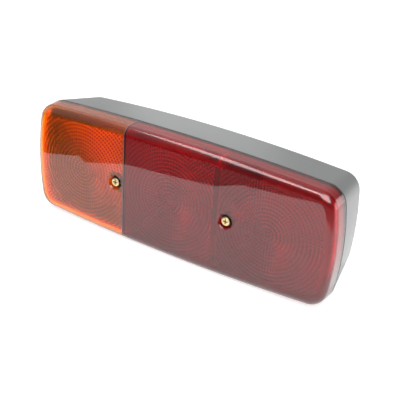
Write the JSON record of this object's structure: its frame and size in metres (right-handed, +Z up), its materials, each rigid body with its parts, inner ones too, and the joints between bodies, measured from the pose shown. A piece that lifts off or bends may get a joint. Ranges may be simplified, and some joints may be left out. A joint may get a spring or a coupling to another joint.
{
  "type": "tail light cluster",
  "caption": "Long rear lamp cluster with a bowed dark housing and a glossy amber and red lens with ringed optics, made to be bolted through a body panel.",
  "frame": {"origin": "middle of the flat back face that lies on the body panel", "axes": "+X along the length to the red end, +Y out of the back, along the studs, +Z up as fitted, and the lens looks along -Y"},
  "size_m": [0.24, 0.0831, 0.0876],
  "materials": {
    "housing_plastic": "fine matte moulding",
    "amber_plastic": "polished clear amber",
    "red_plastic": "polished clear red",
    "black_rubber": "matte",
    "yellow_zinc": "yellow passivated zinc plate",
    "zinc_steel": "bright zinc plate",
    "brass": "plain drawn brass",
    "insulator_board": "pressed laminate",
    "bulb_glass": "clear",
    "filament_wire": "drawn wire"
  },
  "bodies": {
    "root": {"housing": "housing_plastic", "amber_lens": "amber_plastic", "red_lens": "red_plastic", "lens_gasket": "black_rubber", "lens_screws": "yellow_zinc", "screw_seals": "black_rubber", "screw_inserts": "brass", "mounting_studs": "zinc_steel", "cable_grommet": "black_rubber", "earth_strap": "brass", "bracket_screws": "zinc_steel", "indicator_bracket": "zinc_steel", "indicator_socket": "zinc_steel", "indicator_insulator": "insulator_board", "indicator_contact": "brass", "indicator_bulb_cap": "brass", "indicator_bulb_glass": "bulb_glass", "indicator_filament": "filament_wire", "stop_bracket": "zinc_steel", "stop_socket": "zinc_steel", "stop_insulator": "insulator_board", "stop_contact": "brass", "stop_bulb_cap": "brass", "stop_bulb_glass": "bulb_glass", "stop_filament": "filament_wire", "tail_bracket": "zinc_steel", "tail_socket": "zinc_steel", "tail_insulator": "insulator_board", "tail_contact": "brass", "tail_bulb_cap": "brass", "tail_bulb_glass": "bulb_glass", "tail_filament": "filament_wire"}
  },
  "joints": []
}
